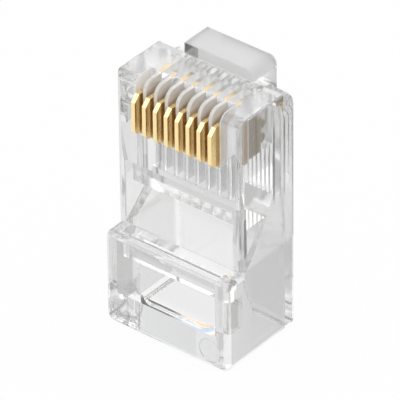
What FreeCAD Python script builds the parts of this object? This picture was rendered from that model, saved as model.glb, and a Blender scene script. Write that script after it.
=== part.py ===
import FreeCAD, Part
import math
import os

# RJ45 modular plug (8P8C), not yet crimped, standing on its cable end with its nose up.
# X runs across the eight contacts, Y from the contact side (-Y) to the latch side (+Y),
# Z from the cable end (0) to the nose. The origin is the middle of the cable-end face.
# All sizes are in millimetres.

Vector = FreeCAD.Vector

# ---- housing, outside ----
BODY_WIDTH = 11.68
REAR_THICKNESS = 8.25
NOSE_THICKNESS = 6.62
STEP_HEIGHT = 8.28
NOSE_TOP = 21.5
EAR_TOP = 20.5
EAR_THICKNESS = 1.62
REAR_SIDE_EDGE_RADIUS = 0.75
REAR_FRONT_EDGE_RADIUS = 0.5
NOSE_EDGE_RADIUS = 0.5
BACK_EDGE_RADIUS = 0.6
EAR_CORNER_RADIUS = 1.1
NOSE_CORNER_RADIUS = 0.12
NOSE_FRONT_ROUND = 0.85

# ---- contacts and their slots ----
CONTACT_COUNT = 8
CONTACT_PITCH = 1.02
CONTACT_THICKNESS = 0.35
CONTACT_PROUD = 0.74
CONTACT_BOTTOM = 17.05
CONTACT_HEIGHT = 3.4
CONTACT_CHAMFER = 0.54
CONTACT_TOE_RADIUS = 0.55
CONTACT_BODY_DEPTH = 4.15
CONTACT_TOP_NOTCH_DEPTH = 0.4
CONTACT_TOP_NOTCH_HEIGHT = 0.45
TINE_REACH = 0.6
TINE_WIDTH = 0.75
TINE_POINT = 0.3
TINE_INSET = 0.75
CONTACT_NOSE_ROUND = 0.05
COMB_SLOT_WIDTH = 0.72
COMB_SLOT_DEPTH = 1.9
SEAT_CLEARANCE = 0.01
COMB_FLOOR_DROP = 0.15

# ---- conductor channels ----
CHANNEL_WIDTH = 0.9
CHANNEL_DEPTH = 1.06
CHANNEL_CORNER = 0.2
CHANNEL_BACK_WALL = 0.86
CHANNEL_START = 12.6
CHANNEL_END_WALL = 0.5

# ---- cable cavity ----
CAVITY_WIDTH = 9.7
CAVITY_BACK_WALL = 0.78
CAVITY_FRONT_WALL = 0.75
CAVITY_BACK_CORNER = 0.4
CAVITY_FRONT_CORNER = 2.6
CAVITY_STRAIGHT_TOP = 8.2
CAVITY_SHOULDER_RADIUS = 6.0
CONDUCTOR_CAVITY_WIDTH = 8.3
CONDUCTOR_CAVITY_TOP_DEPTH = 1.1
RAMP_THICKNESS = 0.65
CHANNEL_OVERLAP = 0.2

# ---- conductor clamp window in the nose ----
NOSE_WINDOW_WIDTH = 10.2
NOSE_WINDOW_BOTTOM = 8.35
NOSE_WINDOW_TOP = 13.95
NOSE_WINDOW_SLOPE = 0.5
CLAMP_BAR_RECESS = 1.0
CLAMP_BAR_BOTTOM = 11.55
RAMP_DEPTH = 1.95
RAMP_RISE = 1.75
CLAMP_BAR_THICKNESS = 2.15
CLAMP_BAR_EDGE_ROUND = 0.3

# ---- jacket clamp window in the rear ----
REAR_WINDOW_WIDTH = 9.3
REAR_WINDOW_BOTTOM = 3
REAR_WINDOW_TOP = 7.75
JACKET_BAR_RECESS = 0.8
JACKET_BAR_BOTTOM = 5.85
JACKET_BAR_THICKNESS = 0.8
JACKET_BAR_SLOPE = 0.6
EJECTOR_MARK_DIAMETER = 2.0
EJECTOR_MARK_DEPTH = 0.05
EJECTOR_MARK_SPACING = 8.27
EJECTOR_MARK_HEIGHT = 1.54

# ---- latch ----
LATCH_WIDTH = 6.4
LATCH_ROOT_TOP = 22.54
LATCH_ROOT_DEPTH = 1.78
LATCH_ROOT_PROUD = 1.0
LATCH_ROOT_BOTTOM = 19.2
LATCH_ROOT_LEFT_ROUND = 0.12
LATCH_ROOT_RIGHT_ROUND = 0.9
LATCH_ROOT_FRONT_ROUND = 0.15
LATCH_ROOT_BACK_ROUND = 0.3
LATCH_ARM_THICKNESS = 0.9
LATCH_ANGLE = 12.0
LATCH_SHOULDER_BELOW_NOSE = 8.1
LATCH_SHOULDER_THICKNESS = 1.7
LATCH_SHOULDER_ROUND = 0.15
FINGER_WIDTH = 3.25
FINGER_END = 3.6
FINGER_END_ROUND = 0.3
LATCH_HINGE_CLEARANCE = 0.02

# ---- planes worked out from the sizes above ----
BACK_Y = REAR_THICKNESS / 2
REAR_FRONT_Y = -REAR_THICKNESS / 2
NOSE_FRONT_Y = BACK_Y - NOSE_THICKNESS
EAR_FRONT_Y = BACK_Y - EAR_THICKNESS
HALF_WIDTH = BODY_WIDTH / 2
CONTACT_TOP = CONTACT_BOTTOM + CONTACT_HEIGHT
CHANNEL_Y = BACK_Y - CHANNEL_BACK_WALL - CHANNEL_DEPTH / 2
CHANNEL_END = EAR_TOP - CHANNEL_END_WALL
MARGIN = 1.0
TOUCH = 0.001


def rounded_wire(corners, to_point):
    """Closed outline through corners (u, v, radius), each rounded by its radius."""
    count = len(corners)
    ends = []
    for i in range(count):
        u, v, radius = corners[i]
        before = Vector(*corners[i - 1][:2], 0) - Vector(u, v, 0)
        after = Vector(*corners[(i + 1) % count][:2], 0) - Vector(u, v, 0)
        before.normalize()
        after.normalize()
        if radius <= 0:
            ends.append([Vector(u, v, 0)])
            continue
        half_angle = before.getAngle(after) / 2
        run = radius / math.tan(half_angle)
        bisector = before + after
        bisector.normalize()
        middle = bisector * (radius / math.sin(half_angle) - radius)
        corner = Vector(u, v, 0)
        ends.append([corner + before * run, corner + middle, corner + after * run])
    edges = []
    for i in range(count):
        here = [to_point(p.x, p.y) for p in ends[i]]
        following = [to_point(p.x, p.y) for p in ends[(i + 1) % count]]
        if len(here) == 3:
            edges.append(Part.Arc(*here).toShape())
        if (following[0] - here[-1]).Length > 1e-6:
            edges.append(Part.LineSegment(here[-1], following[0]).toShape())
    return Part.Wire(edges)


def side_prism(corners, x0, x1):
    """Outline in (y, z, radius), pushed along X from x0 to x1."""
    wire = rounded_wire(corners, lambda y, z: Vector(x0, y, z))
    return Part.Face(wire).extrude(Vector(x1 - x0, 0, 0))


def front_prism(corners, y0, y1):
    """Outline in (x, z, radius), pushed along Y from y0 to y1."""
    wire = rounded_wire(corners, lambda x, z: Vector(x, y0, z))
    return Part.Face(wire).extrude(Vector(0, y1 - y0, 0))


def plan_prism(corners, z0, z1):
    """Outline in (x, y, radius), pushed along Z from z0 to z1."""
    wire = rounded_wire(corners, lambda x, y: Vector(x, y, z0))
    return Part.Face(wire).extrude(Vector(0, 0, z1 - z0))


def block(x0, x1, y0, y1, z0, z1):
    return Part.makeBox(x1 - x0, y1 - y0, z1 - z0, Vector(x0, y0, z0))


def contact_positions():
    first = -(CONTACT_COUNT - 1) / 2 * CONTACT_PITCH
    return [first + i * CONTACT_PITCH for i in range(CONTACT_COUNT)]


def upright_outline(width, bottom, top, bottom_radius, top_radius):
    half = width / 2
    return [(-half, bottom, bottom_radius), (half, bottom, bottom_radius),
            (half, top, top_radius), (-half, top, top_radius)]


def plan_outline(front_y, back_y, front_radius, back_radius):
    return [(-HALF_WIDTH, front_y, front_radius), (HALF_WIDTH, front_y, front_radius),
            (HALF_WIDTH, back_y, back_radius), (-HALF_WIDTH, back_y, back_radius)]


def edges_between(shape, low, high):
    """Edges that lie wholly inside the box from low to high."""
    found = []
    for edge in shape.Edges:
        box = edge.BoundBox
        start = (box.XMin, box.YMin, box.ZMin)
        end = (box.XMax, box.YMax, box.ZMax)
        if all(low[i] - TOUCH < start[i] and end[i] < high[i] + TOUCH for i in range(3)):
            found.append(edge)
    return found


def rear_block():
    """Block around the cable room, softly rounded on all sides."""
    x, z = HALF_WIDTH, STEP_HEIGHT
    shape = block(-x, x, REAR_FRONT_Y, BACK_Y, 0, z)
    sides = []
    for side, height in ((-x, 0), (x, 0), (-x, z), (x, z)):
        sides += edges_between(shape, (side, REAR_FRONT_Y, height), (side, BACK_Y, height))
    shape = shape.makeFillet(REAR_SIDE_EDGE_RADIUS, sides)
    for y, radius in ((REAR_FRONT_Y, REAR_FRONT_EDGE_RADIUS), (BACK_Y, BACK_EDGE_RADIUS)):
        shape = shape.makeFillet(radius, edges_between(shape, (-x, y, 0), (x, y, z)))
    return shape


def nose_block():
    """Nose with the ear plate behind it, standing on the rear block."""
    base = STEP_HEIGHT - 2 * REAR_SIDE_EDGE_RADIUS
    nose = front_prism(upright_outline(BODY_WIDTH, base, NOSE_TOP, 0, NOSE_CORNER_RADIUS),
                       NOSE_FRONT_Y, EAR_FRONT_Y)
    ears = front_prism(upright_outline(BODY_WIDTH, base, EAR_TOP, 0, EAR_CORNER_RADIUS),
                       EAR_FRONT_Y, BACK_Y)
    shape = nose.fuse(ears)
    shape = shape.common(plan_prism(plan_outline(NOSE_FRONT_Y, BACK_Y, NOSE_EDGE_RADIUS,
                                                 BACK_EDGE_RADIUS), base, NOSE_TOP))
    return shape.common(side_prism([(NOSE_FRONT_Y, base, 0), (BACK_Y, base, 0), (BACK_Y, NOSE_TOP, 0),
                                    (NOSE_FRONT_Y, NOSE_TOP, NOSE_FRONT_ROUND)],
                                   -HALF_WIDTH, HALF_WIDTH))


def outer_body():
    return rear_block().fuse(nose_block()).removeSplitter()


def latch_root():
    """Solid block behind the nose from which the latch springs."""
    root = side_prism([(BACK_Y - LATCH_ROOT_DEPTH, EAR_TOP, 0),
                       (BACK_Y - LATCH_ROOT_DEPTH, LATCH_ROOT_TOP, LATCH_ROOT_FRONT_ROUND),
                       (BACK_Y + LATCH_ROOT_PROUD, LATCH_ROOT_TOP, LATCH_ROOT_BACK_ROUND),
                       (BACK_Y + LATCH_ROOT_PROUD, LATCH_ROOT_BOTTOM, 0),
                       (BACK_Y - MARGIN, LATCH_ROOT_BOTTOM, 0),
                       (BACK_Y - MARGIN, EAR_TOP, 0)], -LATCH_WIDTH / 2, LATCH_WIDTH / 2)
    half = LATCH_WIDTH / 2
    outline = [(-half, LATCH_ROOT_BOTTOM, 0), (half, LATCH_ROOT_BOTTOM, 0),
               (half, LATCH_ROOT_TOP, LATCH_ROOT_RIGHT_ROUND),
               (-half, LATCH_ROOT_TOP, LATCH_ROOT_LEFT_ROUND)]
    return root.common(front_prism(outline, BACK_Y - 2 * MARGIN, BACK_Y + 2 * MARGIN))


def cable_cavity():
    """Cable room: jacket room at the mouth, then a ramp down to the conductor channels."""
    front_y = REAR_FRONT_Y + CAVITY_FRONT_WALL
    back_y = BACK_Y - CAVITY_BACK_WALL
    throat_back_y = BACK_Y - CHANNEL_BACK_WALL
    throat_front_y = throat_back_y - CONDUCTOR_CAVITY_TOP_DEPTH
    ramp_start_y = NOSE_FRONT_Y + RAMP_DEPTH + RAMP_THICKNESS
    ramp_start_z = NOSE_WINDOW_BOTTOM + RAMP_RISE - RAMP_THICKNESS
    bar_y = REAR_FRONT_Y + JACKET_BAR_RECESS + JACKET_BAR_THICKNESS
    side = side_prism([(front_y, -MARGIN, 0), (front_y, JACKET_BAR_BOTTOM, 0),
                       (bar_y, JACKET_BAR_BOTTOM, 0),
                       (bar_y, JACKET_BAR_BOTTOM + JACKET_BAR_SLOPE, 0),
                       (ramp_start_y, ramp_start_z, 0), (throat_front_y, CHANNEL_START, 0),
                       (throat_back_y, CHANNEL_START, 0),
                       (throat_back_y, ramp_start_z, 0), (back_y, CAVITY_STRAIGHT_TOP, 0),
                       (back_y, -MARGIN, 0)], -HALF_WIDTH, HALF_WIDTH)
    half = CAVITY_WIDTH / 2
    throat = CONDUCTOR_CAVITY_WIDTH / 2
    front = front_prism([(-half, -MARGIN, 0), (half, -MARGIN, 0),
                         (half, CAVITY_STRAIGHT_TOP, CAVITY_SHOULDER_RADIUS),
                         (throat, CHANNEL_START, 0), (-throat, CHANNEL_START, 0),
                         (-half, CAVITY_STRAIGHT_TOP, CAVITY_SHOULDER_RADIUS)],
                        REAR_FRONT_Y, BACK_Y)
    plan = plan_prism([(-half, front_y, CAVITY_FRONT_CORNER),
                       (half, front_y, CAVITY_FRONT_CORNER),
                       (half, back_y, CAVITY_BACK_CORNER),
                       (-half, back_y, CAVITY_BACK_CORNER)], -MARGIN, CHANNEL_START)
    return side.common(front).common(plan)


def conductor_channels():
    """Eight channels side by side, one for each conductor, blind at the nose."""
    half = CHANNEL_WIDTH / 2
    front_y = CHANNEL_Y - CHANNEL_DEPTH / 2
    back_y = CHANNEL_Y + CHANNEL_DEPTH / 2
    channels = []
    for x in contact_positions():
        outline = [(x - half, front_y, CHANNEL_CORNER), (x + half, front_y, CHANNEL_CORNER),
                   (x + half, back_y, CHANNEL_CORNER), (x - half, back_y, CHANNEL_CORNER)]
        channels.append(plan_prism(outline, CHANNEL_START - CHANNEL_OVERLAP, CHANNEL_END))
    return channels[0].fuse(channels[1:])


def contact_slots():
    """A wide comb slot open to the nose and, behind it, a close seat for each contact."""
    slots = []
    for x in contact_positions():
        half = COMB_SLOT_WIDTH / 2
        slots.append(block(x - half, x + half, NOSE_FRONT_Y - MARGIN, NOSE_FRONT_Y + COMB_SLOT_DEPTH,
                           CONTACT_BOTTOM - COMB_FLOOR_DROP, NOSE_TOP + MARGIN))
        half = CONTACT_THICKNESS / 2 + SEAT_CLEARANCE
        slots.append(block(x - half, x + half, NOSE_FRONT_Y - MARGIN, CHANNEL_Y,
                           CONTACT_BOTTOM - SEAT_CLEARANCE, CONTACT_TOP + SEAT_CLEARANCE))
    return slots[0].fuse(slots[1:])


def nose_window():
    """Pocket over the conductor clamp bar, with a ramp up from the step."""
    bar_y = NOSE_FRONT_Y + CLAMP_BAR_RECESS
    ramp_y = NOSE_FRONT_Y + RAMP_DEPTH
    deep_y = bar_y + CLAMP_BAR_THICKNESS
    profile = [(NOSE_FRONT_Y - MARGIN, NOSE_WINDOW_TOP, 0), (NOSE_FRONT_Y, NOSE_WINDOW_TOP, 0),
               (bar_y, NOSE_WINDOW_TOP - NOSE_WINDOW_SLOPE, CLAMP_BAR_EDGE_ROUND),
               (bar_y, CLAMP_BAR_BOTTOM, 0), (deep_y, CLAMP_BAR_BOTTOM, 0),
               (ramp_y, NOSE_WINDOW_BOTTOM + RAMP_RISE, 0),
               (NOSE_FRONT_Y, NOSE_WINDOW_BOTTOM, 0), (NOSE_FRONT_Y - MARGIN, NOSE_WINDOW_BOTTOM, 0)]
    return side_prism(profile, -NOSE_WINDOW_WIDTH / 2, NOSE_WINDOW_WIDTH / 2)


def rear_window():
    """Opening into the jacket room, with the jacket clamp bar set back in its upper part."""
    half = REAR_WINDOW_WIDTH / 2
    bar_y = REAR_FRONT_Y + JACKET_BAR_RECESS
    cavity_y = REAR_FRONT_Y + CAVITY_FRONT_WALL + CAVITY_FRONT_CORNER
    recess = block(-half, half, REAR_FRONT_Y - MARGIN, bar_y, REAR_WINDOW_BOTTOM, REAR_WINDOW_TOP)
    opening = block(-half, half, REAR_FRONT_Y - MARGIN, cavity_y, REAR_WINDOW_BOTTOM, JACKET_BAR_BOTTOM)
    return recess.fuse(opening)


def ejector_marks():
    """Shallow round marks that the mould's ejector pins leave on the cable end."""
    marks = []
    for side in (-1, 1):
        start = Vector(side * EJECTOR_MARK_SPACING / 2, REAR_FRONT_Y + EJECTOR_MARK_DEPTH,
                       EJECTOR_MARK_HEIGHT)
        marks.append(Part.makeCylinder(EJECTOR_MARK_DIAMETER / 2, MARGIN, start, Vector(0, -1, 0)))
    return marks[0].fuse(marks[1:])


def latch_axis():
    return Vector(0, BACK_Y + LATCH_ROOT_PROUD - LATCH_ARM_THICKNESS / 2, LATCH_ROOT_BOTTOM)


def hinge_socket():
    axis = latch_axis()
    radius = LATCH_ARM_THICKNESS / 2 + LATCH_HINGE_CLEARANCE
    return Part.makeCylinder(radius, LATCH_WIDTH + 2 * MARGIN,
                             Vector(-LATCH_WIDTH / 2 - MARGIN, axis.y, axis.z), Vector(1, 0, 0))


def housing():
    body = outer_body().fuse(latch_root())
    body = body.cut(cable_cavity())
    body = body.cut(conductor_channels())
    body = body.cut(contact_slots())
    body = body.cut(nose_window())
    body = body.cut(rear_window())
    body = body.cut(ejector_marks())
    body = body.cut(hinge_socket())
    return body.removeSplitter()


def contact_blade(x, long_top):
    """Stamped contact: rounded head outside, piercing tines towards the conductor."""
    head_y = NOSE_FRONT_Y - CONTACT_PROUD
    body_y = head_y + CONTACT_BODY_DEPTH
    top = CONTACT_TOP
    bottom = CONTACT_BOTTOM
    x0 = x - CONTACT_THICKNESS / 2
    x1 = x + CONTACT_THICKNESS / 2
    notch_y = body_y - CONTACT_TOP_NOTCH_DEPTH
    notch_z = top - CONTACT_TOP_NOTCH_HEIGHT
    back_top = [(body_y, top, 0)] if long_top else [(body_y, notch_z, 0), (notch_y, notch_z, 0),
                                                    (notch_y, top, 0)]
    front_top = [(head_y + CONTACT_CHAMFER, top, 0),
                 (head_y, top - CONTACT_CHAMFER, CONTACT_NOSE_ROUND)]
    body = side_prism([(head_y, bottom, CONTACT_TOE_RADIUS), (body_y, bottom, 0)] + back_top + front_top,
                      x0, x1)
    inset = 0 if long_top else TINE_INSET
    for start in (bottom + inset, top - inset - TINE_WIDTH):
        body = body.fuse(contact_tine(body_y, start, x0, x1))
    return body.removeSplitter()


def contact_tine(root_y, start, x0, x1):
    """Pointed tine whose lower edge is at height start."""
    tip_y = root_y + TINE_REACH
    return side_prism([(root_y - TINE_POINT, start, 0), (tip_y - TINE_POINT, start, 0),
                       (tip_y, start + TINE_WIDTH / 2, 0), (tip_y - TINE_POINT, start + TINE_WIDTH, 0),
                       (root_y - TINE_POINT, start + TINE_WIDTH, 0)], x0, x1)


def latch():
    """Spring arm with its locking shoulders and the narrow finger tab, modelled relaxed."""
    axis = latch_axis()
    half_thickness = LATCH_ARM_THICKNESS / 2
    shoulder_z = NOSE_TOP - LATCH_SHOULDER_BELOW_NOSE
    arm_length = axis.z - shoulder_z
    finger_length = axis.z - FINGER_END
    knuckle = Part.makeCylinder(half_thickness, LATCH_WIDTH,
                                Vector(-LATCH_WIDTH / 2, axis.y, axis.z), Vector(1, 0, 0))
    inner_y = axis.y - half_thickness
    outer_y = axis.y + half_thickness
    arm = side_prism([(inner_y, axis.z, 0), (outer_y, axis.z, 0),
                      (inner_y + LATCH_SHOULDER_THICKNESS, axis.z - arm_length, LATCH_SHOULDER_ROUND),
                      (inner_y, axis.z - arm_length, 0)], -LATCH_WIDTH / 2, LATCH_WIDTH / 2)
    finger = side_prism([(inner_y, axis.z, 0), (outer_y, axis.z, 0),
                         (outer_y, axis.z - finger_length, FINGER_END_ROUND),
                         (inner_y, axis.z - finger_length, FINGER_END_ROUND)],
                        -FINGER_WIDTH / 2, FINGER_WIDTH / 2)
    shape = knuckle.fuse([arm, finger]).removeSplitter()
    shape.rotate(axis, Vector(1, 0, 0), LATCH_ANGLE)
    return shape


def save(name, shape):
    if not shape.isValid():
        raise RuntimeError(name + " is not a valid solid")
    if len(shape.Solids) != 1:
        raise RuntimeError(name + " is not one solid")
    shape.Solids[0].exportStep("parts/" + name + ".step")
    print(name, "volume", round(shape.Volume, 3), "faces", len(shape.Faces))


def main():
    os.makedirs("parts", exist_ok=True)
    save("housing", housing())
    save("latch", latch())
    for index, x in enumerate(contact_positions()):
        save("contact_" + str(index + 1), contact_blade(x, index % 2 == 0))


main()
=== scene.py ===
import math

import bpy
from mathutils import Matrix, Vector

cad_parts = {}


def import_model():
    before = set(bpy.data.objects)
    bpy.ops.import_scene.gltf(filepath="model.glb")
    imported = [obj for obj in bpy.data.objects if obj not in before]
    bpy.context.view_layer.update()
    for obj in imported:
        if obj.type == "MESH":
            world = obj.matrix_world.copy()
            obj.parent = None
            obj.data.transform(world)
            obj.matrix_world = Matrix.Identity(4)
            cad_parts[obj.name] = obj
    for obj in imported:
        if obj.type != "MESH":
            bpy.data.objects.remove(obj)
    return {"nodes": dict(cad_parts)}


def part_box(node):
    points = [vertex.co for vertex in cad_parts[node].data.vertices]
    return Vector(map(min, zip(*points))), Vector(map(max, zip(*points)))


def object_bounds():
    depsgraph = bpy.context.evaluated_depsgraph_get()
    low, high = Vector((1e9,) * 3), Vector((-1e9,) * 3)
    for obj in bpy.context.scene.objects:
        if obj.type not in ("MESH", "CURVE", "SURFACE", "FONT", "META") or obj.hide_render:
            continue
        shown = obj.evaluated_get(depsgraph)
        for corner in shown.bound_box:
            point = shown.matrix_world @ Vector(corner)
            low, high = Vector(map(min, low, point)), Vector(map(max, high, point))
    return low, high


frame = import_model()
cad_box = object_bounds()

MM = 0.001
WHITE = (1, 1, 1, 1)
# A Mix node has a set of sockets for each kind of value: first input, second input, result.
MIX_NUMBER_SOCKETS = (2, 3, 0)
MIX_COLOUR_SOCKETS = (6, 7, 2)
NOISE_DETAIL = 2.0

# Lengths below are in millimetres in the part's own frame, and angles in degrees.
# A pair is where a soft mask starts and ends.

# ---- view: the plug stands on its cable end, seen from the contact side and above ----
VIEW_AZIMUTH = 39.1
VIEW_ELEVATION = 34.7
VIEW_ROLL = -0.6
VIEW_DISTANCE = 440.3
VIEW_LENS = 536.5
VIEW_TARGET = Vector((-0.297, 0.383, 10.739))

# ---- studio: a white room with a soft key and a soft rim lamp ----
KEY_LAMP = {"azimuth": 228, "elevation": 44, "inner": 10, "outer": 24}
KEY_LEVEL = 1.9
RIM_LAMP = {"azimuth": 134, "elevation": 43, "inner": 14, "outer": 30}
RIM_LEVEL = 1.7
HORIZON = [(0.0, 0.25), (0.25, 0.45), (0.4, 0.6), (0.6, 1.0)]
SHADE_AZIMUTH = 51
SHADE_AXIS = (math.cos(math.radians(SHADE_AZIMUTH)), math.sin(math.radians(SHADE_AZIMUTH)), 0)
SKY_TURN = 0.8
SKY_BRIGHT, SKY_DARK = 1.12, 0.95

# ---- floor: the plug's base, its mouth, and the shade round and under them ----
FLOOR_HALF = 2000
FLOOR_GAP = 0.02
FLOOR_COLOUR = (0.95, 0.95, 0.95, 1)
FLOOR_ROUGHNESS = 0.8
FLOOR_GLOW = 0.96
SHADE_SPAN = 22
FLOOR_BRIGHT, FLOOR_DARK = 1.05, 0.76
BASE_WIDTH, BASE_DEPTH = 11.68, 8.25
MOUTH_WIDTH, MOUTH_DEPTH = 9.7, 6.72
MOUTH_CENTRE = (0, -0.015)
SHADOW_LEFT = (-4.8, -4.2)
SHADOW_LEFT_SHARE = 0.5
LEAK = (-1.2, 0.6)
LEAK_DARK, LEAK_BRIGHT = 0.08, 1.1
FRINGE_END = (MOUTH_WIDTH / 2 - 0.5, MOUTH_WIDTH / 2)
# painted colour fringe standing in for refracted light along the front rim
FRINGE = [(0.0, (0.35, 0.55, 1.0)), (0.35, (1.0, 1.0, 1.0)),
          (0.6, (1.0, 0.95, 0.85)), (1.0, (1.0, 0.55, 0.2))]
ROOM = (-1.0, 0.8)
ROOM_SHADE = 0.86

# ---- clear plastic: where its zones lie, placed to read like the photo ----
CONTACT_PROUD = 0.74
NOSE_TOP = 21.5
CORE_DEPTH = (0.1, 0.3)             # under the outer faces
STEP = (8.0, 8.6)
FLAT_FACE = (0.985, 0.999)          # how squarely a face must look along an axis
COMB_SIDE = (0.15, 0.35)            # beyond the outermost contacts
COMB_FOOT = (-0.4, -0.1)            # from the contacts' lower ends
COMB_DEPTH = (1.8, 1.88)            # behind the nose's front
GOLD_REFLECTION_HEIGHT = (19.9, 20.9)
THROAT_HEIGHT = (12.5, 12.6)
BAND_TOP = (-0.1, 0.1)              # from the contacts' lower ends
ROOT_HEIGHT = (NOSE_TOP + 0.02, NOSE_TOP + 0.1)
ROOT_BACK = (0.05, 0.15)            # behind the latch's front
ROOT_BACK_HEIGHT = (19.1, 19.3)
POLISH_END = (-1.95, -1.9)
POLISH_FACING = (0.9, 0.99)
MOTTLE_SIZE = 1.6
MOTTLE = (0.35, 0.65)
FRONT_SKIN = (0.1, 0.2)             # behind the cable end's front
EJECTOR_X, EJECTOR_Z, EJECTOR_RADIUS = 4.135, 1.54, 1.0
PAD_EDGE = (EJECTOR_RADIUS - 0.02, EJECTOR_RADIUS + 0.02)
RING_EDGE = (0.03, 0.08)
HAZE_RIGHT = (-3.4, -3.0)
HAZE_BACK = (-1.4, -1.0)
HAZE_TOP = (3.0, 3.6)
EAR_EDGE_ROUND = (0.12, 0.3)
EAR_EDGE_FRONT = (0.8, 1.2)
JAMB_FACING = (0.7, 0.9)
JAMB_FRONT, JAMB_BACK = (0.05, 0.12), (1.0, 1.1)    # behind the nose's front
JAMB_LEFT, JAMB_RIGHT = (4.9, 5.0), (5.2, 5.3)
STREAK_SIDE = (0, 1)
STREAK_FOOT, STREAK_TOP = (12.2, 13.2), (18.8, 19.8)
STREAK_DEPTH = (1.2, 4.1)
# painted dark and bright lines across the streaked strip, standing in for refractions
STREAKS = [(0.0, 0.82), (0.03, 0.8), (0.06, 0.12), (0.1, 0.25), (0.15, 0.95), (0.28, 1.0),
           (0.34, 0.55), (0.42, 0.95), (0.5, 0.25), (0.57, 0.95), (0.75, 1.0), (1.0, 0.4)]

# ---- clear plastic: how its zones look, chosen, not measured ----
PLASTIC_IOR = 1.585
PLASTIC_ABSORPTION = 1.0
SKIN_ROUGHNESS = 0.02
CORE_ROUGHNESS = 0.12
HAZE_ROUGHNESS = 0.45
THROAT_ROUGHNESS = 0.18
BEHIND_ROUGHNESS = 0.15
PAD_ROUGHNESS = 0.25
COMB_ROUGHNESS = 0.2
ROOT_ROUGHNESS = 0.55
COMB_MILK = 0.58
ROOT_MILK = 0.4
# painted shade: the flat outer faces greyed by which way they face, darkest on the rear block's
# sides
REAR_SIDE_SHADE = (0.57, 0.57, 0.565, 1)
NOSE_SIDE_SHADE = (0.82, 0.82, 0.815, 1)
REAR_FRONT_SHADE = (0.79, 0.795, 0.80, 1)
NOSE_FRONT_SHADE = (0.94, 0.94, 0.94, 1)
# painted shade: the ear plate's rounded edges nearly black, standing in for dark refraction lines
EAR_EDGE_SHADE = (0.08, 0.08, 0.08, 1)
# painted shade: a near-black strip on the right jamb, standing in for a dark refraction
JAMB_SHADE = (0.06, 0.06, 0.06, 1)
# painted shade: a greyer band in the throat just below the contacts
BAND_SHADE = (0.8, 0.8, 0.8, 1)
COMB_TINT = (1.0, 0.975, 0.935, 1)
# painted reflection: the comb walls' lower sides tinted tan, as if mirroring the gold blades
GOLD_REFLECTION_TINT = (0.92, 0.72, 0.48, 1)
ROOT_CLOUD = (0.98, 0.98, 0.985, 1)
# painted reflection: the latch root's smooth left end darkened, as if mirroring a dark room
POLISH_DARK_REFLECTION = (0.2, 0.2, 0.19, 1)
RING_TINT = (0.62, 0.62, 0.62, 1)

# ---- contacts: gold, with painted shade and other tones where they are sunk in their slots ----
GOLD_EDGE = (0.98, 0.78, 0.41, 1)
GOLD_FLANK = (1.0, 0.77, 0.39, 1)
# painted shade: gold darkened where the contacts sink into their slots
SUNK_EDGE_SHADE = (0.72, 0.55, 0.28, 1)
BURIED_FLANK = (0.98, 0.95, 0.9, 1)
# painted shade: the last contact's outer flank a dark tan
LAST_FLANK_SHADE = (0.42, 0.36, 0.27, 1)
FLANK_FACING = (0.3, 0.8)
SUNK_DEPTH = (0.95, 1.2)            # behind the contacts' front
LAST_SIDE = (-0.06, -0.03)          # from the last contact's outer flank
GRAIN_SIZE = 0.08
GRAIN_STRETCH = (1, 1, 0.08)
GRAIN = (0.3, 0.7)
GOLD_ROUGHNESS = (0.16, 0.3)

CONTACTS = sorted(name for name in frame["nodes"] if name.startswith("contact_"))


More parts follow.
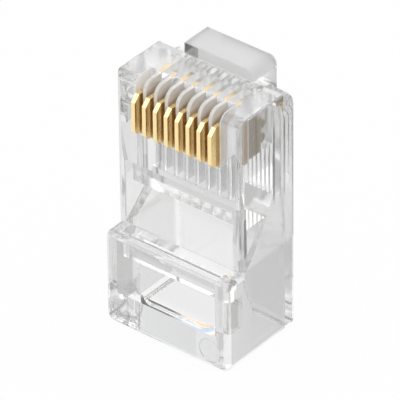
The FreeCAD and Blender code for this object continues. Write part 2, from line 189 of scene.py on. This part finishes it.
class Graph:
    """Short names for building a node tree."""

    def __init__(self, tree):
        self.tree = tree
        tree.nodes.clear()

    def node(self, kind, **settings):
        item = self.tree.nodes.new(kind)
        for key, value in settings.items():
            setattr(item, key, value)
        return item

    def feed(self, socket, value):
        if isinstance(value, bpy.types.NodeSocket):
            self.tree.links.new(value, socket)
        else:
            socket.default_value = value

    def math(self, operation, a, b=0.0, clamp=False):
        item = self.node("ShaderNodeMath", operation=operation, use_clamp=clamp)
        self.feed(item.inputs[0], a)
        self.feed(item.inputs[1], b)
        return item.outputs[0]

    def size(self, value):
        return self.math("ABSOLUTE", value)

    def minus(self, a, b):
        return self.math("SUBTRACT", a, b)

    def inverse(self, mask):
        return self.minus(1.0, mask)

    def times(self, first, *others):
        """Product of masks or numbers."""
        for other in others:
            first = self.math("MULTIPLY", first, other)
        return first

    def either(self, first, *others):
        """Sum of masks, 1 at most."""
        for other in others:
            first = self.math("ADD", first, other, clamp=True)
        return first

    def split(self, vector):
        axes = self.node("ShaderNodeSeparateXYZ")
        self.feed(axes.inputs[0], vector)
        return axes.outputs

    def place(self):
        """X, Y and Z of the shaded point in the part's frame, in millimetres."""
        here = self.node("ShaderNodeTexCoord").outputs["Object"]
        return [self.math("MULTIPLY", axis, 1 / MM) for axis in self.split(here)]

    def facing(self):
        """How squarely the face looks along X and along Y, from 0 to 1."""
        normal = self.node("ShaderNodeTexCoord").outputs["Normal"]
        return [self.size(axis) for axis in self.split(normal)[:2]]

    def dot(self, vector, axis):
        item = self.node("ShaderNodeVectorMath", operation="DOT_PRODUCT")
        self.feed(item.inputs[0], vector)
        item.inputs[1].default_value = axis
        return item.outputs["Value"]

    def span(self, value, start, end, at_start=0.0, at_end=1.0, smooth=True):
        """One level turning into another between start and end."""
        item = self.node("ShaderNodeMapRange",
                         interpolation_type="SMOOTHSTEP" if smooth else "LINEAR")
        self.feed(item.inputs["Value"], value)
        for key, level in (("From Min", start), ("From Max", end),
                           ("To Min", at_start), ("To Max", at_end)):
            item.inputs[key].default_value = level
        return item.outputs[0]

    def past(self, value, edge, origin=0.0):
        """1 beyond a soft edge, 0 before it."""
        return self.span(value, origin + edge[0], origin + edge[1])

    def before(self, value, edge, origin=0.0):
        """1 before a soft edge, 0 beyond it."""
        return self.span(value, origin + edge[0], origin + edge[1], 1.0, 0.0)

    def ramp(self, value, stops):
        """Colour ramp; a stop's level is a grey or a colour."""
        item = self.node("ShaderNodeValToRGB")
        elements = item.color_ramp.elements
        while len(elements) < len(stops):
            elements.new(1.0)
        for element, (position, level) in zip(elements, stops):
            element.position = position
            element.color = (*(level if isinstance(level, tuple) else (level,) * 3), 1)
        self.feed(item.inputs[0], value)
        return item.outputs[0]

    def blend(self, amount, a, b):
        """Colour a, turning into colour b where the amount is 1."""
        item = self.node("ShaderNodeMix", data_type="RGBA")
        first, second, result = MIX_COLOUR_SOCKETS
        self.feed(item.inputs["Factor"], amount)
        self.feed(item.inputs[first], a)
        self.feed(item.inputs[second], b)
        return item.outputs[result]

    def choose(self, level, *cases):
        """Base level, replaced in turn where a case's 0-to-1 mask is on."""
        for mask, value in cases:
            item = self.node("ShaderNodeMix", data_type="FLOAT")
            first, second, result = MIX_NUMBER_SOCKETS
            self.feed(item.inputs["Factor"], mask)
            self.feed(item.inputs[first], level)
            self.feed(item.inputs[second], value)
            level = item.outputs[result]
        return level

    def noise(self, size, stretch=(1, 1, 1)):
        """Fixed 0-to-1 noise with spots of about the given size, stretched along an axis."""
        scale = self.node("ShaderNodeMapping")
        self.feed(scale.inputs["Vector"], self.node("ShaderNodeTexCoord").outputs["Object"])
        scale.inputs["Scale"].default_value = stretch
        spots = self.node("ShaderNodeTexNoise")
        self.feed(spots.inputs["Vector"], scale.outputs[0])
        spots.inputs["Scale"].default_value = 1 / (size * MM)
        spots.inputs["Detail"].default_value = NOISE_DETAIL
        return spots.outputs["Fac"]


def new_material(name):
    material = bpy.data.materials.new(name)
    material.use_nodes = True
    graph = Graph(material.node_tree)
    output = graph.node("ShaderNodeOutputMaterial")
    shader = graph.node("ShaderNodeBsdfPrincipled")
    graph.feed(output.inputs["Surface"], shader.outputs["BSDF"])
    return material, graph, shader, output


def in_mm(box):
    """A box's two corners in millimetres."""
    return [Vector(corner) / MM for corner in box]


def comb_box():
    """Box round the slotted comb that holds the contacts, from the contacts' own boxes."""
    lows, highs = zip(*(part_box(name) for name in CONTACTS))
    return in_mm(([min(corner[i] for corner in lows) for i in range(3)],
                  [max(corner[i] for corner in highs) for i in range(3)]))


class PlasticZones:
    """0-to-1 masks of the moulding's zones, by place and by the way a face looks."""

    def __init__(self, graph):
        self.graph = graph
        self.x, self.y, self.z = graph.place()
        self.across, self.forward = graph.facing()
        self.comb_low, self.comb_high = comb_box()
        self.body_low, self.body_high = in_mm(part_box("housing"))
        self.latch_low, _ = in_mm(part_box("latch"))
        self.front_depth = graph.minus(self.y, self.comb_low.y + CONTACT_PROUD)
        self.add_depths()
        self.add_comb()
        self.add_root()
        self.add_ejector_marks()
        self.add_sides()

    def add_depths(self):
        """The skin, the cores under it, the throat of channels, and a hazy front left corner."""
        graph = self.graph
        depth = graph.minus(self.body_high.x, graph.size(self.x))
        depth = graph.math("MINIMUM", depth, self.front_depth)
        depth = graph.math("MINIMUM", depth, graph.minus(self.latch_low.y, self.y))
        self.core = graph.past(depth, CORE_DEPTH)
        self.skin = graph.inverse(self.core)
        self.throat = graph.times(self.core, graph.past(self.z, THROAT_HEIGHT))
        # painted shade in a band just below the contacts
        self.band = graph.times(self.throat, graph.before(self.z, BAND_TOP, self.comb_low.z))
        self.haze = graph.times(self.core, graph.before(self.x, HAZE_RIGHT),
                               graph.before(self.y, HAZE_BACK), graph.before(self.z, HAZE_TOP))

    def add_comb(self):
        """The comb's thin walls, milky, their sides tinted gold as a painted reflection of the
        blades beside them.
        """
        graph = self.graph
        self.comb = graph.times(graph.before(graph.size(self.x), COMB_SIDE, self.comb_high.x),
                               graph.past(self.z, COMB_FOOT, self.comb_low.z),
                               graph.before(self.front_depth, COMB_DEPTH))
        # painted gold reflection on the comb walls' lower sides
        self.gold_reflection = graph.times(graph.before(self.z, GOLD_REFLECTION_HEIGHT), self.across)

    def add_root(self):
        """The latch root: frosted, with a smooth left end that carries a painted dark reflection,
        and smoother behind the nose.
        """
        graph = self.graph
        root = graph.past(self.z, ROOT_HEIGHT)
        # a smooth left end, with a painted dark reflection
        self.polished_and_dark_reflection = graph.times(graph.before(self.x, POLISH_END), root,
                                   graph.past(self.forward, POLISH_FACING))
        self.frosted = graph.math("SUBTRACT", root, self.polished_and_dark_reflection, clamp=True)
        self.behind = graph.times(graph.past(self.y, ROOT_BACK, self.latch_low.y),
                                 graph.past(self.z, ROOT_BACK_HEIGHT))

    def add_ejector_marks(self):
        """Two matt pads left by ejector pins on the front, each with a thin grey ring."""
        graph = self.graph
        off_x = graph.minus(graph.size(self.x), EJECTOR_X)
        off_z = graph.minus(self.z, EJECTOR_Z)
        reach = graph.math("SQRT", graph.math("ADD", graph.times(off_x, off_x),
                                              graph.times(off_z, off_z)))
        front = graph.before(self.y, FRONT_SKIN, self.body_low.y)
        self.pad = graph.times(front, graph.before(reach, PAD_EDGE))
        off_ring = graph.size(graph.minus(reach, EJECTOR_RADIUS))
        self.ring = graph.times(front, graph.before(off_ring, RING_EDGE))

    def add_sides(self):
        """Flat outer faces, the ear plate's rounded edges, and two marks on the right side only,
        where shade and refraction lines are painted.
        """
        graph = self.graph
        self.rear = graph.before(self.z, STEP)
        nose = graph.inverse(self.rear)
        # masks for the painted shade on the flat sides and fronts
        self.side = graph.times(self.skin, graph.past(self.across, FLAT_FACE))
        self.front = graph.times(self.skin, graph.past(self.forward, FLAT_FACE))
        corner = graph.math("MINIMUM", self.across, self.forward)
        # painted dark shade along the ear plate's rounded edges
        self.ear_edge = graph.times(graph.past(corner, EAR_EDGE_ROUND), nose, self.skin,
                                   graph.past(self.y, EAR_EDGE_FRONT))
        # painted dark and bright refraction lines on the right side
        self.streaked = graph.times(self.side, graph.past(self.x, STREAK_SIDE),
                                   graph.past(self.z, STREAK_FOOT),
                                   graph.before(self.z, STREAK_TOP))
        # a painted dark strip on the right jamb
        self.jamb = graph.times(graph.past(self.across, JAMB_FACING),
                               graph.past(self.front_depth, JAMB_FRONT),
                               graph.before(self.front_depth, JAMB_BACK),
                               graph.past(self.x, JAMB_LEFT), graph.before(self.x, JAMB_RIGHT),
                               nose)


def plastic_roughness(graph, zones):
    rough = graph.times(zones.core, CORE_ROUGHNESS)
    for mask, level in ((zones.haze, HAZE_ROUGHNESS), (zones.throat, THROAT_ROUGHNESS),
                        (zones.behind, BEHIND_ROUGHNESS), (zones.pad, PAD_ROUGHNESS),
                        (zones.comb, COMB_ROUGHNESS), (zones.frosted, ROOT_ROUGHNESS)):
        rough = graph.math("MAXIMUM", rough, graph.times(mask, level))
    return graph.math("MAXIMUM", rough, SKIN_ROUGHNESS)


def plastic_tint(graph, zones):
    """Painted shade that greys the flat faces, and painted dark marks that stand in for
    refractions.
    """
    streaks = graph.ramp(graph.span(zones.y, *STREAK_DEPTH, smooth=False), STREAKS)
    mottle = graph.past(graph.noise(MOTTLE_SIZE), MOTTLE)
    tint = WHITE
    for mask, colour in (
            # painted shade greys the flat sides and fronts
            (zones.side, graph.blend(zones.rear, NOSE_SIDE_SHADE, REAR_SIDE_SHADE)),
            (zones.front, graph.blend(zones.rear, NOSE_FRONT_SHADE, REAR_FRONT_SHADE)),
            # painted dark shade on the ear plate's edges
            (zones.ear_edge, EAR_EDGE_SHADE),
            # painted dark strip on the jamb
            (zones.jamb, JAMB_SHADE),
            # painted refraction lines on the right side
            (zones.streaked, streaks),
            (zones.throat, WHITE),
            # painted shade below the contacts
            (zones.band, BAND_SHADE),
            # painted gold reflection on the comb's lower sides
            (zones.comb, graph.blend(zones.gold_reflection, COMB_TINT, GOLD_REFLECTION_TINT)),
            (zones.frosted, graph.blend(mottle, WHITE, ROOT_CLOUD)),
            # painted dark reflection on the root's left end
            (zones.polished_and_dark_reflection, POLISH_DARK_REFLECTION),
            (zones.ring, RING_TINT)):
        tint = graph.blend(mask, tint, colour)
    return tint


def clear_plastic():
    """Clear moulded polycarbonate: glossy skin, hazy cores, milky comb, cloudy latch root."""
    material, graph, shader, output = new_material("clear_polycarbonate")
    zones = PlasticZones(graph)
    milk = graph.either(graph.times(zones.comb, COMB_MILK), graph.times(zones.frosted, ROOT_MILK))
    shader.inputs["IOR"].default_value = PLASTIC_IOR
    graph.feed(shader.inputs["Base Color"], plastic_tint(graph, zones))
    graph.feed(shader.inputs["Roughness"], plastic_roughness(graph, zones))
    graph.feed(shader.inputs["Transmission Weight"], graph.inverse(milk))
    volume = graph.node("ShaderNodeVolumeAbsorption")
    volume.inputs["Color"].default_value = (0.0, 0.0, 0.0, 1)
    volume.inputs["Density"].default_value = PLASTIC_ABSORPTION
    graph.feed(output.inputs["Volume"], volume.outputs[0])
    return material


def gold():
    """Gold outside, with painted shade on sunk edges, pale on buried flanks, painted tan shade on
    the last outer flank.
    """
    material, graph, shader, _ = new_material("gold_plating")
    x, y, _ = graph.place()
    across, _ = graph.facing()
    low, high = comb_box()
    flank = graph.past(across, FLANK_FACING)
    sunk = graph.past(y, SUNK_DEPTH, low.y)
    buried = graph.times(flank, sunk)
    # painted tan shade on the last contact's outer flank
    last = graph.times(buried, graph.past(x, LAST_SIDE, high.x))
    colour = GOLD_EDGE
    # sunk edges get painted shade, and the last outer flank a painted tan shade
    for mask, value in ((flank, GOLD_FLANK), (sunk, SUNK_EDGE_SHADE), (buried, BURIED_FLANK),
                        (last, LAST_FLANK_SHADE)):
        colour = graph.blend(mask, colour, value)
    graph.feed(shader.inputs["Base Color"], colour)
    shader.inputs["Metallic"].default_value = 1.0
    grain = graph.noise(GRAIN_SIZE, GRAIN_STRETCH)
    graph.feed(shader.inputs["Roughness"], graph.span(grain, *GRAIN, *GOLD_ROUGHNESS))
    return material


def paint_cad_nodes():
    plastic = clear_plastic()
    metal = gold()
    for name, node in frame["nodes"].items():
        node.data.materials.clear()
        node.data.materials.append(metal if name in CONTACTS else plastic)


def lamp(graph, direction, azimuth, elevation, inner, outer):
    """0-to-1 mask of a soft round panel in the sky."""
    azimuth, elevation, inner, outer = map(math.radians, (azimuth, elevation, inner, outer))
    axis = (math.cos(azimuth) * math.cos(elevation), math.sin(azimuth) * math.cos(elevation),
            math.sin(elevation))
    return graph.span(graph.dot(direction, axis), math.cos(outer), math.cos(inner))


def world():
    """White studio: the camera sees plain white; gloss and clear plastic see the soft room."""
    studio = bpy.data.worlds.new("studio")
    bpy.context.scene.world = studio
    studio.use_nodes = True
    graph = Graph(studio.node_tree)
    output = graph.node("ShaderNodeOutputWorld")
    path = graph.node("ShaderNodeLightPath").outputs
    direction = graph.node("ShaderNodeTexCoord").outputs["Generated"]
    sky = graph.span(graph.dot(direction, SHADE_AXIS), -SKY_TURN, SKY_TURN, SKY_BRIGHT, SKY_DARK)
    sky = graph.times(sky, graph.ramp(graph.split(direction)[2], HORIZON))
    sky = graph.choose(sky, (lamp(graph, direction, **RIM_LAMP), RIM_LEVEL),
                       (lamp(graph, direction, **KEY_LAMP), KEY_LEVEL))
    level = graph.choose(1.0, (path["Is Glossy Ray"], sky), (path["Is Transmission Ray"], sky),
                         (path["Is Camera Ray"], 1.0))
    background = graph.node("ShaderNodeBackground")
    background.inputs["Color"].default_value = WHITE
    graph.feed(background.inputs["Strength"], level)
    graph.feed(output.inputs["Surface"], background.outputs["Background"])


def inside(graph, x, y, centre, width, depth):
    """1 inside a rectangle on the floor, 0 outside it."""
    off_x = graph.size(graph.minus(x, centre[0]))
    off_y = graph.size(graph.minus(y, centre[1]))
    return graph.times(graph.math("LESS_THAN", off_x, width / 2),
                      graph.math("LESS_THAN", off_y, depth / 2))


def floor_glow(graph, path):
    """The floor's own light, which all but hides the plug's cast shadow, and stand-ins for it."""
    x, y, _ = graph.place()
    along = graph.math("ADD", graph.times(x, SHADE_AXIS[0]), graph.times(y, SHADE_AXIS[1]))
    shade = graph.span(along, -SHADE_SPAN, SHADE_SPAN, FLOOR_BRIGHT, FLOOR_DARK)
    # a dark line under the plug's rim, lighter on the right, stands in for its shadow
    under = inside(graph, x, y, (0, 0), BASE_WIDTH, BASE_DEPTH)
    mouth = inside(graph, x, y, MOUTH_CENTRE, MOUTH_WIDTH, MOUTH_DEPTH)
    contact = graph.times(under, graph.inverse(mouth),
                         graph.span(x, *SHADOW_LEFT, SHADOW_LEFT_SHARE, 1.0))
    leak = graph.span(x, *LEAK, LEAK_DARK, LEAK_BRIGHT)
    # the floor of the cable room lies in the plug's own soft shadow
    room = graph.choose(1.0, (mouth, graph.span(y, *ROOM, 1.0, ROOM_SHADE)))
    level = graph.choose(shade, (contact, leak), (path["Is Camera Ray"], room))
    # a painted blue and orange fringe of refracted light along the front rim
    mouth_front = MOUTH_CENTRE[1] - MOUTH_DEPTH / 2
    fringe = graph.ramp(graph.span(y, -BASE_DEPTH / 2, mouth_front, smooth=False), FRINGE)
    fringed = graph.times(contact, graph.past(x, LEAK), graph.math("LESS_THAN", y, 0.0),
                         graph.before(x, FRINGE_END), graph.inverse(path["Is Camera Ray"]))
    glow = graph.node("ShaderNodeEmission")
    graph.feed(glow.inputs["Color"], graph.blend(fringed, WHITE, fringe))
    graph.feed(glow.inputs["Strength"], level)
    return glow.outputs[0]


def floor():
    mesh = bpy.data.meshes.new("floor")
    half = FLOOR_HALF * MM
    mesh.from_pydata([(-half, -half, 0), (half, -half, 0), (half, half, 0), (-half, half, 0)],
                     [], [(0, 1, 2, 3)])
    plane = bpy.data.objects.new("floor", mesh)
    bpy.context.scene.collection.objects.link(plane)
    plane.location.z = cad_box[0][2] - FLOOR_GAP * MM
    material, graph, shader, output = new_material("pale_floor")
    shader.inputs["Base Color"].default_value = FLOOR_COLOUR
    shader.inputs["Roughness"].default_value = FLOOR_ROUGHNESS
    shader.inputs["Specular IOR Level"].default_value = 0.0
    path = graph.node("ShaderNodeLightPath").outputs
    seen = graph.either(path["Is Camera Ray"], path["Is Glossy Ray"], path["Is Transmission Ray"])
    mix = graph.node("ShaderNodeMixShader")
    graph.feed(mix.inputs[0], graph.times(seen, FLOOR_GLOW))
    graph.feed(mix.inputs[1], shader.outputs["BSDF"])
    graph.feed(mix.inputs[2], floor_glow(graph, path))
    graph.feed(output.inputs["Surface"], mix.outputs[0])
    mesh.materials.append(material)


def camera():
    data = bpy.data.cameras.new("view")
    data.sensor_width = 36.0
    data.lens = VIEW_LENS
    data.clip_start = 0.01
    data.clip_end = 10.0
    azimuth = math.radians(VIEW_AZIMUTH)
    elevation = math.radians(VIEW_ELEVATION)
    direction = Vector((-math.sin(azimuth) * math.cos(elevation),
                        math.cos(azimuth) * math.cos(elevation), -math.sin(elevation)))
    view = bpy.data.objects.new("view", data)
    bpy.context.scene.collection.objects.link(view)
    place = Matrix.Translation((VIEW_TARGET - direction * VIEW_DISTANCE) * MM)
    turn = direction.to_track_quat("-Z", "Y").to_matrix().to_4x4()
    roll = Matrix.Rotation(math.radians(VIEW_ROLL), 4, "Z")
    view.matrix_world = place @ turn @ roll
    bpy.context.scene.camera = view


def setup_scene():
    scene = bpy.context.scene
    scene.view_settings.view_transform = "Standard"
    # light crosses many walls and slots before it leaves the plug
    scene.cycles.max_bounces = 80
    scene.cycles.diffuse_bounces = 40
    scene.cycles.transmission_bounces = 80
    scene.cycles.glossy_bounces = 60


paint_cad_nodes()
world()
floor()
camera()
setup_scene()
